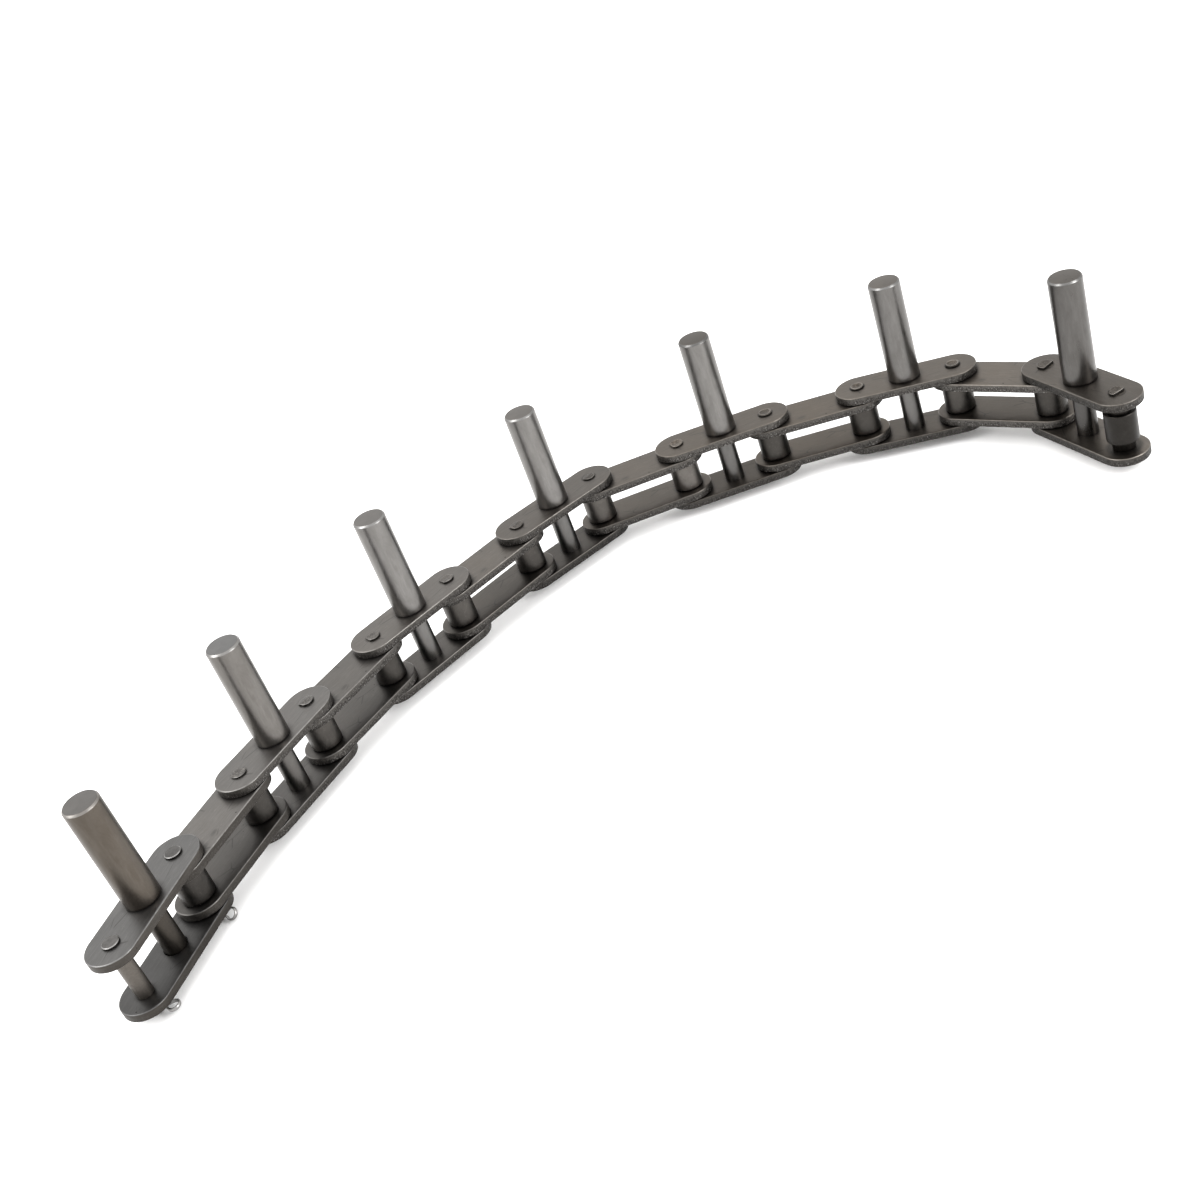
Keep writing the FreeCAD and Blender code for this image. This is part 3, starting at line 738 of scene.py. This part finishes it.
def bar_steel(name, centre, tone, warmth, shank_tone, top_tone, top_warmth, roughness):
    """Drawn and turned bar: broad bands along it, a clouded grey, fine scuffs, painted contact
    shadow just above the plate, a scuffed edge under a painted highlight.
    """
    nodes = Nodes(name)
    local = nodes.centred(centre)
    up = nodes.part(local, 2)
    end = nodes.soft(nodes.facing(), 0.75, 0.97)
    broad = nodes.streaks(local, (95, 95, 14), 3, 0.55, 0.3)
    clouds = nodes.noise(nodes.stretched(local, (1, 1, 0.55)), 190, 5, 0.62, 0.4)
    scuffs = nodes.streaks(local, (900, 900, 160), 3, 0.6)
    turning = nodes.streaks(local, (30, 30, 4200), 2, 0.6)
    specks = nodes.soft(nodes.cells(local, 330), 0.1, 0.03)
    specks = nodes.times(specks, nodes.spread(nodes.noise(local, 160, 1), 0.56, 0.62))

    bar = nodes.clouded(broad, 0.3, 0.7, (tone * 0.84, warmth * 1.2), (tone * 1.12, warmth))
    bar = nodes.cover(bar, nodes.spread(clouds, 0.34, 0.58, 0.5, 0.0), tone * 0.6, warmth * 1.6)
    bar = nodes.cover(bar, nodes.spread(scuffs, 0.5, 0.7, 0.0, 0.22), tone * 1.5, warmth)
    climb = nodes.spread(up, TOP_FACE + 4 * MM, STUD_TOP, 0.0, 0.3)
    bar = nodes.cover(bar, climb, tone * 0.62, warmth * 1.3)
    shank = nodes.clouded(clouds, 0.3, 0.65, (shank_tone * 0.75, warmth), (shank_tone, warmth))
    colour = nodes.mix(nodes.spread(up, TOP_FACE - 0.5 * MM, TOP_FACE), shank, bar)
    # Painted contact shadow on the stud just above the plate
    painted_foot_shadow = nodes.times(
        nodes.soft(up, TOP_FACE + 1.1 * MM, TOP_FACE),
        nodes.spread(up, TOP_FACE - 0.3 * MM, TOP_FACE - 0.1 * MM),
    )
    colour = nodes.cover(colour, nodes.times(painted_foot_shadow, 0.8), tone * 0.18, 0.08)
    colour = nodes.cover(colour, nodes.times(specks, 0.85), tone * 0.2, 0.08)
    dark, light = (top_tone * 0.86, top_warmth), (top_tone * 1.12, top_warmth)
    top = nodes.clouded(clouds, 0.3, 0.7, dark, light)
    colour = nodes.mix(nodes.times(end, nodes.spread(up, STUD_TOP - MM, STUD_TOP)), colour, top)
    # Painted highlight on the chamfer round the stud's top, partly scuffed bright steel
    rubbed_and_highlit = nodes.math("ABSOLUTE", nodes.math("SUBTRACT", up, STUD_TOP - 0.4 * MM))
    rubbed_and_highlit = nodes.soft(rubbed_and_highlit, 0.45 * MM, 0.25 * MM)
    rubbed_and_highlit = nodes.times(rubbed_and_highlit, nodes.math("SUBTRACT", 1.0, end))
    rubbed_and_highlit = nodes.times(rubbed_and_highlit, nodes.spread(clouds, 0.3, 0.6, 0.5, 1.0))
    colour = nodes.cover(colour, rubbed_and_highlit, top_tone * 2.3, warmth * 0.4)

    shine = nodes.spread(clouds, 0.3, 0.75, roughness, roughness + 0.09)
    shine = nodes.math("ADD", shine, nodes.times(specks, 0.25))
    normal = nodes.bump(turning, 0.08, 0.006 * MM)
    normal = nodes.bump(nodes.noise(local, 1500, 3, 0.6), 0.05, 0.008 * MM, normal)
    return nodes.finish(colour, shine, normal)


def worked_steel(name, tone, warmth, roughness, edge_highlight_tone=1.6):
    """Formed steel for the small pieces: clouds, fine grain, light scuffs and a painted highlight
    on edges that slope up.
    """
    nodes = Nodes(name)
    local = nodes.place.outputs["Object"]
    facing = nodes.facing()
    clouds = nodes.noise(local, 260, 4, 0.6)
    fine = nodes.noise(local, 2300, 3, 0.6)
    scuffs = nodes.spread(nodes.noise(local, 800, 4, 0.7, 1.0), 0.56, 0.7, 0.0, 0.35)
    colour = nodes.clouded(clouds, 0.3, 0.7, (tone * 0.84, warmth), (tone * 1.1, warmth))
    colour = nodes.cover(colour, scuffs, tone * 1.9, warmth)
    # Painted highlight on faces that slope up
    highlit_slope = nodes.times(nodes.soft(facing, 0.15, 0.5), nodes.soft(facing, 0.99, 0.9))
    colour = nodes.cover(colour, nodes.times(highlit_slope, 0.7), tone * edge_highlight_tone, warmth)
    shine = nodes.spread(clouds, 0.3, 0.75, roughness, roughness + 0.12)
    return nodes.finish(colour, shine, nodes.bump(fine, 0.12, 0.02 * MM))


def pin_steel(name, index, tone, warmth, body_tone, hammered, looks):
    """A link's two pins: a top from smooth (0) to hammered (1) with a painted highlight on its
    slopes and ring, a wall darkened by painted shade and some dirt, a plain body.

    looks are the left and right end's: how dark each top is round its border and all over.
    """
    nodes = Nodes(name)
    local = nodes.seen_from_link(index)
    up = nodes.part(local, 2)
    facing = nodes.facing()
    left = nodes.distance(local, (0, 0, 0))
    right = nodes.distance(local, (PITCH, 0, 0))
    away = nodes.math("MINIMUM", left, right)
    steep = nodes.soft(nodes.math("ABSOLUTE", facing), 0.62, 0.35)
    clouds = nodes.noise(local, 480, 4, 0.6)
    marks = nodes.noise(local, 1300, 4, 0.7, 0.8)
    along_link = nodes.part(local, 0)
    outline, shade = (
        nodes.spread(along_link, 0.4 * PITCH, 0.6 * PITCH, looks[0][kind], looks[1][kind])
        for kind in ("outline", "shade")
    )

    dark, light = (tone * 0.75, warmth * 1.2), (tone * 1.25, warmth)
    top = nodes.clouded(clouds, 0.35, 0.65, dark, light)
    bright = nodes.spread(marks, 0.52, 0.62, 0.0, 0.7 * hammered)
    hollow = nodes.spread(marks, 0.47, 0.36, 0.0, 0.75 * hammered)
    top = nodes.cover(top, bright, tone * 2.6, warmth)
    top = nodes.cover(top, hollow, tone * 0.25, warmth)
    top = nodes.cover(top, shade, tone * 0.2, -0.04)
    border = nodes.times(nodes.soft(away, PIN_RADIUS * 0.83, PIN_RADIUS * 0.9), outline)
    # Painted highlight on the top's upward slopes and on its raised ring, partly scuffed bright
    # steel
    highlit_slope = nodes.times(nodes.soft(facing, 0.3, 0.6), nodes.soft(facing, 0.97, 0.86))
    ring = nodes.math("ABSOLUTE", nodes.math("SUBTRACT", away, PIN_RADIUS * 0.76))
    ring = nodes.soft(ring, PIN_RADIUS * 0.1, PIN_RADIUS * 0.04)
    worn_and_highlit = nodes.math("MAXIMUM", highlit_slope, nodes.times(ring, outline))
    worn_and_highlit = nodes.times(worn_and_highlit, nodes.spread(clouds, 0.3, 0.6, 0.35, 0.9))
    top = nodes.cover(top, worn_and_highlit, tone * 2.6, warmth * 0.5)
    top = nodes.cover(top, border, tone * 0.12, warmth)
    # The end's wall just above the plate is darkened to near black: painted shade, with some dirt
    wall = nodes.clouded(up, TOP_FACE - 0.2 * MM, TOP_FACE, (body_tone, 0.11), (0.018, 0.05))
    body = nodes.cover(wall, nodes.spread(marks, 0.4, 0.7, 0.0, 0.3), body_tone * 0.6, 0.11)
    colour = nodes.mix(steep, top, body)
    shine = nodes.spread(marks, 0.3, 0.7, 0.36, 0.52)
    return nodes.finish(colour, shine, nodes.bump(marks, 0.1 + 0.5 * hammered, 0.11 * MM))


def studio_floor(name):
    """Pale seamless paper with a very faint tooth."""
    nodes = Nodes(name)
    local = nodes.place.outputs["Object"]
    colour = nodes.clouded(nodes.noise(local, 3, 2, 0.5), 0.3, 0.7, (0.90, 0.0), (0.93, 0.0))
    normal = nodes.bump(nodes.noise(local, 900, 2, 0.5), 0.05, 0.05 * MM)
    return nodes.finish(colour, 0.9, normal, metallic=0.0)


# The strand

# Each link from the left: lightness of its upper and lower plate, warmth of the steel,
# lightness of the upper and of the lower plate's side and how rough they are sheared.
# The lower plates are set darker than the upper ones, partly as painted shade under the strand.
PLATE_TONES = (
    (0.100, 0.059, 0.02, 0.042, 0.037, 0.1),
    (0.108, 0.067, 0.06, 0.038, 0.037, 0.25),
    (0.108, 0.066, 0.05, 0.043, 0.041, 0.8),
    (0.084, 0.064, 0.07, 0.047, 0.047, 1.0),
    (0.099, 0.060, 0.08, 0.041, 0.041, 1.0),
    (0.087, 0.055, 0.11, 0.042, 0.041, 1.0),
    (0.077, 0.043, 0.11, 0.039, 0.028, 1.0),
    (0.077, 0.063, 0.14, 0.047, 0.042, 1.0),
    (0.074, 0.040, 0.16, 0.051, 0.034, 1.0),
    (0.073, 0.060, 0.18, 0.046, 0.039, 1.0),
    (0.082, 0.053, 0.15, 0.047, 0.035, 1.0),
    (0.092, 0.060, 0.15, 0.058, 0.054, 1.0),
    (0.072, 0.090, 0.13, 0.034, 0.033, 0.9),
)

# Each stud's lightness and warmth, its shank's lightness, its top's lightness and warmth,
# and how matt it is. The last three studs are set darker as painted shade, for the darker
# reflections down their sides.
STUD_TONES = (
    (0.068, 0.135, 0.042, 0.083, 0.05, 0.34),
    (0.117, 0.055, 0.098, 0.094, 0.01, 0.28),
    (0.143, 0.035, 0.126, 0.085, 0.06, 0.28),
    (0.143, 0.035, 0.110, 0.077, 0.08, 0.28),
    (0.135, 0.035, 0.101, 0.042, 0.15, 0.28),
    (0.112, 0.035, 0.108, 0.066, 0.13, 0.27),
    (0.077, 0.040, 0.056, 0.058, 0.12, 0.26),
)

# Lightness, warmth and roughness of the rollers, and the lightness of those that differ from
# the rest, as a share of theirs
ROLLER_TONE = 0.040
ROLLER_WARMTH = 0.08
ROLLER_ROUGHNESS = 0.34
ROLLER_SHARES = {
    "inner_link_1_left_roller": 0.87,
    "inner_link_2_left_roller": 1.25,
    "inner_link_3_left_roller": 1.4,
    "inner_link_3_right_roller": 1.15,
    "inner_link_4_left_roller": 1.77,
    "inner_link_4_right_roller": 2.3,
    "inner_link_6_left_roller": 1.17,
    "inner_link_6_right_roller": 0.9,
}

# How a riveted end was struck: its size and stand against a plain one, how far out its flat is
# and where that faces, the facet's line, slope and facing, the dish and ring on its top in
# millimetres, and how dark the top is round its border and all over
PLAIN_END = {
    "size": 1.0,
    "stand": 1.0,
    "flat": 1.2,
    "flat_faces": 0.0,
    "line": 2.0,
    "slope": 0.0,
    "facet_faces": 2.27,
    "dish": 0.0,
    "ring": 0.0,
    "outline": 0.2,
    "shade": 0.0,
}


def struck(**changes):
    """A riveted end that differs from the plain one."""
    return dict(PLAIN_END, **changes)


# The two heads of the connecting link, then the upper end of every riveted pin from the left
PIN_ENDS = (
    struck(outline=0.0, shade=0.2),
    struck(outline=0.0, shade=0.42),
    struck(stand=1.1, line=-0.6, slope=0.09, dish=0.08, shade=0.12),
    struck(stand=1.4, flat=0.88, flat_faces=3.95, line=0.0, slope=0.25, shade=0.26),
    struck(stand=1.3, flat=0.78, flat_faces=3.62, line=-0.5, slope=0.14, dish=0.15, shade=0.24),
    struck(
        stand=1.3, flat=0.78, flat_faces=3.62, line=-0.5, slope=0.14, dish=0.12, ring=0.05,
        shade=0.2,
    ),
    struck(stand=1.2, flat=0.85, flat_faces=3.8, line=0.1, slope=0.2, dish=0.05, shade=0.28),
    struck(size=0.88, flat=0.8, flat_faces=4.0, line=0.0, slope=0.2, shade=0.4),
    struck(stand=1.1, flat=0.79, flat_faces=3.36, dish=0.2, ring=0.08),
    struck(stand=1.1, dish=0.2, ring=0.12, outline=0.7, shade=0.42),
    struck(size=0.95, dish=0.35, ring=0.2, outline=0.9, shade=0.16),
    struck(stand=1.15, dish=0.3, ring=0.2, outline=0.9, shade=0.1),
    struck(size=1.12, stand=1.5, flat=0.52, flat_faces=5.22, dish=0.05, shade=0.22),
    struck(stand=1.45, flat=0.42, flat_faces=5.04, dish=0.1, ring=0.05, shade=0.2),
)

# Lightness of the pins' tops as a share of their plate's, and lightness of their bodies
TOP_SHARE = 0.72
TOP_SHARES = {0: 0.92, 8: 0.86}
PIN_BODY_TONE = 0.08

# Painted contact shadow, with some grime, on a plate round what stands on it: how wide it
# fades and how strong it is
ROUND_PLATE_END = (1.6 * MM, 0.75)
ROUND_ROLLER = (1.8 * MM, 0.7)
ROUND_SHANK = (1.8 * MM, 0.6)
ROUND_STUD = (2.2 * MM, 0.6)
ROUND_END_WIDTH = 0.6 * MM
ROUND_END = 0.6
ROUND_ENDS = {0: 0.3, 6: 0.85, 9: 0.9, 10: 1.0, 11: 1.0, 12: 0.7, 13: 0.75}

roller_finish = (ROLLER_WARMTH, ROLLER_ROUGHNESS)
roller_steel = worked_steel("roller_steel", ROLLER_TONE, *roller_finish)
end_roller_steel = worked_steel("end_roller_steel", 0.018, *roller_finish)
bush_steel = worked_steel("bush_steel", 0.096, 0.06, 0.38)
wire_steel = worked_steel("split_pin_wire", 0.2, 0.02, 0.28, 1.3)


def make_plates(index, lower_node, holes, rings):
    """A link's two plates; holes and rings are the upper plate's, then the lower one's."""
    body = body_of_link(index)
    upper_tone, lower_tone, warmth, upper_side, lower_side, sheared = PLATE_TONES[index]
    upper_steel = plate_steel(
        body + "_top_steel", body + "_top_plate", index, rings[0],
        upper_tone, warmth, upper_side, sheared,
    )
    lower_steel = plate_steel(
        body + "_bottom_steel", body + lower_node, index, rings[1],
        lower_tone, warmth, lower_side, sheared,
    )
    tear = sheared * TORN_DEPTH
    make_plate(index, body + "_top_plate", holes[0], upper_steel, tear)
    make_plate(index, body + lower_node, holes[1], lower_steel, tear)


def make_pins(index):
    """An outer link's pins: riveted, or in the connecting link held by two split pins."""
    body = body_of_link(index)
    start, along, _ = link_frame(index)
    end = start + along * PITCH
    looks = PIN_ENDS[index : index + 2]
    upper_tone, _, warmth = PLATE_TONES[index][:3]
    top_tone = upper_tone * TOP_SHARES.get(index, TOP_SHARE)
    hammered = 0.1 if index == 0 else 1.0
    steel = pin_steel(
        body + "_pin_steel", index, top_tone, warmth + 0.02, PIN_BODY_TONE, hammered, looks
    )
    if index == 0:
        pins = [connecting_pin(start), connecting_pin(end)]
        nodes = ["connecting_link_pins"]
        new_piece("connecting_pins", pins, steel, body, nodes)
        tilts = ((0.0, math.radians(2)), (PITCH, math.radians(40)))
        wires = [split_pin(index, at, tilt) for at, tilt in tilts]
        new_piece("split_pin_wires", wires, wire_steel, body, ["split_pins"])
    else:
        pins = [
            riveted_pin(start, looks[0], 7 * index),
            riveted_pin(end, looks[1], 7 * index + 3),
        ]
        nodes = [body + "_pins"]
        new_piece(body + "_riveted_pins", pins, steel, body, nodes)


def make_outer_link(index):
    """An outer link: two plates, the stud through their middle and two pins."""
    body = body_of_link(index)
    start, along, _ = link_frame(index)
    loose = index == 0
    upper_holes = ((0.0, PIN_RADIUS), (PITCH / 2, SHANK_RADIUS), (PITCH, PIN_RADIUS))
    lower_holes = upper_holes
    if loose:
        shank_hole = (PITCH / 2, LOOSE_SHANK_HOLE)
        lower_holes = ((0.0, LOOSE_PIN_HOLE), shank_hole, (PITCH, LOOSE_PIN_HOLE))
    upper_rings = (
        (0.0, PIN_RADIUS, ROUND_END_WIDTH, ROUND_ENDS.get(index, ROUND_END)),
        (PITCH / 2, STUD_RADIUS) + ROUND_STUD,
        (PITCH, PIN_RADIUS, ROUND_END_WIDTH, ROUND_ENDS.get(index + 1, ROUND_END)),
    )
    left_reach = PIN_RADIUS if loose else PLATE_REACH
    right_reach = ROLLER_RADIUS if index == LINKS - 1 else PLATE_REACH
    lower_rings = (
        (0.0, left_reach) + ROUND_PLATE_END,
        (PITCH / 2, SHANK_RADIUS) + ROUND_SHANK,
        (PITCH, right_reach) + ROUND_PLATE_END,
    )
    lower_node = "_loose_plate" if loose else "_bottom_plate"
    holes = (upper_holes, lower_holes)
    make_plates(index, lower_node, holes, (upper_rings, lower_rings))
    middle = start + along * PITCH / 2
    make_stud(index, bar_steel(body + "_stud_steel", middle, *STUD_TONES[index // 2]))
    make_pins(index)


def make_inner_link(index):
    """An inner link: two plates, two pressed bushes and a roller on each."""
    body = body_of_link(index)
    start, along, _ = link_frame(index)
    end = start + along * PITCH
    holes = ((0.0, BUSH_RADIUS), (PITCH, BUSH_RADIUS))
    upper_rings = [(at, PLATE_REACH) + ROUND_PLATE_END for at in (0.0, PITCH)]
    lower_rings = [(at, ROLLER_RADIUS) + ROUND_ROLLER for at in (0.0, PITCH)]
    make_plates(index, "_bottom_plate", (holes, holes), (upper_rings, lower_rings))
    bushes = [bush_surface(start), bush_surface(end)]
    new_piece(body + "_pressed_bushes", bushes, bush_steel, body, [body + "_bushes"])
    for side, centre in (("left", start), ("right", end)):
        node = "%s_%s_roller" % (body, side)
        steel = roller_steel
        if node in ROLLER_SHARES:
            tone = ROLLER_TONE * ROLLER_SHARES[node]
            steel = worked_steel(node + "_steel", tone, *roller_finish)
        new_piece(node + "_turned", [roller_surface(centre)], steel, node, [node])


for number in range(LINKS):
    if number % 2:
        make_inner_link(number)
    else:
        make_outer_link(number)

last_pin = PINS[-1]
end_surfaces = [roller_surface(last_pin), bush_surface(last_pin)]
end_body = "end_bush_and_roller"
new_piece("end_roller_on_its_bush", end_surfaces, end_roller_steel, end_body, [end_body])

# Floor, light and camera

FLOOR_REACH = 20.0
floor_corners = [
    (-FLOOR_REACH, -FLOOR_REACH, 0),
    (FLOOR_REACH, -FLOOR_REACH, 0),
    (FLOOR_REACH, FLOOR_REACH, 0),
    (-FLOOR_REACH, FLOOR_REACH, 0),
]
floor_mesh = bpy.data.meshes.new("studio_floor")
floor_mesh.from_pydata(floor_corners, [], [(0, 1, 2, 3)])
floor_mesh.materials.append(studio_floor("floor_paper"))
floor = bpy.data.objects.new("studio_floor", floor_mesh)
bpy.context.scene.collection.objects.link(floor)

world = bpy.data.worlds.new("studio")
bpy.context.scene.world = world
world.use_nodes = True
background = world.node_tree.nodes["Background"]
background.inputs["Color"].default_value = (1.0, 0.99, 0.975, 1.0)
background.inputs["Strength"].default_value = 1.44


def soft_light(name, place, target, width, height, power):
    """A rectangular softbox that faces its target."""
    data = bpy.data.lights.new(name, "AREA")
    data.shape = "RECTANGLE"
    data.size = width
    data.size_y = height
    data.energy = power
    lamp = bpy.data.objects.new(name, data)
    bpy.context.scene.collection.objects.link(lamp)
    direction = Vector(target) - Vector(place)
    lamp.location = place
    lamp.rotation_euler = direction.to_track_quat("-Z", "Y").to_euler()


sky = bpy.data.lights.new("ceiling_light", "SUN")
sky.energy = 1.5
sky.angle = math.radians(100)
ceiling = bpy.data.objects.new("ceiling_light", sky)
bpy.context.scene.collection.objects.link(ceiling)
ceiling.rotation_euler = (math.radians(-12), math.radians(-14), 0)
soft_light("left_softbox", (-0.9, -0.2, 0.85), (0, 0, 0.02), width=0.5, height=0.9, power=10)
soft_light("right_softbox", (0.62, -0.5, 0.42), (0.05, -0.1, 0), width=0.35, height=0.5, power=8.75)

# The place, tilt and lens of the view that the strand's outline was fitted to
camera_data = bpy.data.cameras.new("camera")
camera_data.sensor_width = 36.0
camera_data.sensor_fit = "HORIZONTAL"
camera_data.lens = 45.281
camera_data.clip_start = 0.01
camera = bpy.data.objects.new("camera", camera_data)
bpy.context.scene.collection.objects.link(camera)
camera.matrix_world = Matrix(
    (
        (0.933950, 0.357403, 0.000590, -0.010542),
        (-0.188425, 0.493786, -0.848924, -0.459807),
        (-0.303699, 0.792741, 0.528515, 0.315488),
        (0, 0, 0, 1),
    )
)
bpy.context.scene.camera = camera
bpy.context.scene.view_settings.view_transform = "Standard"

bpy.context.view_layer.update()
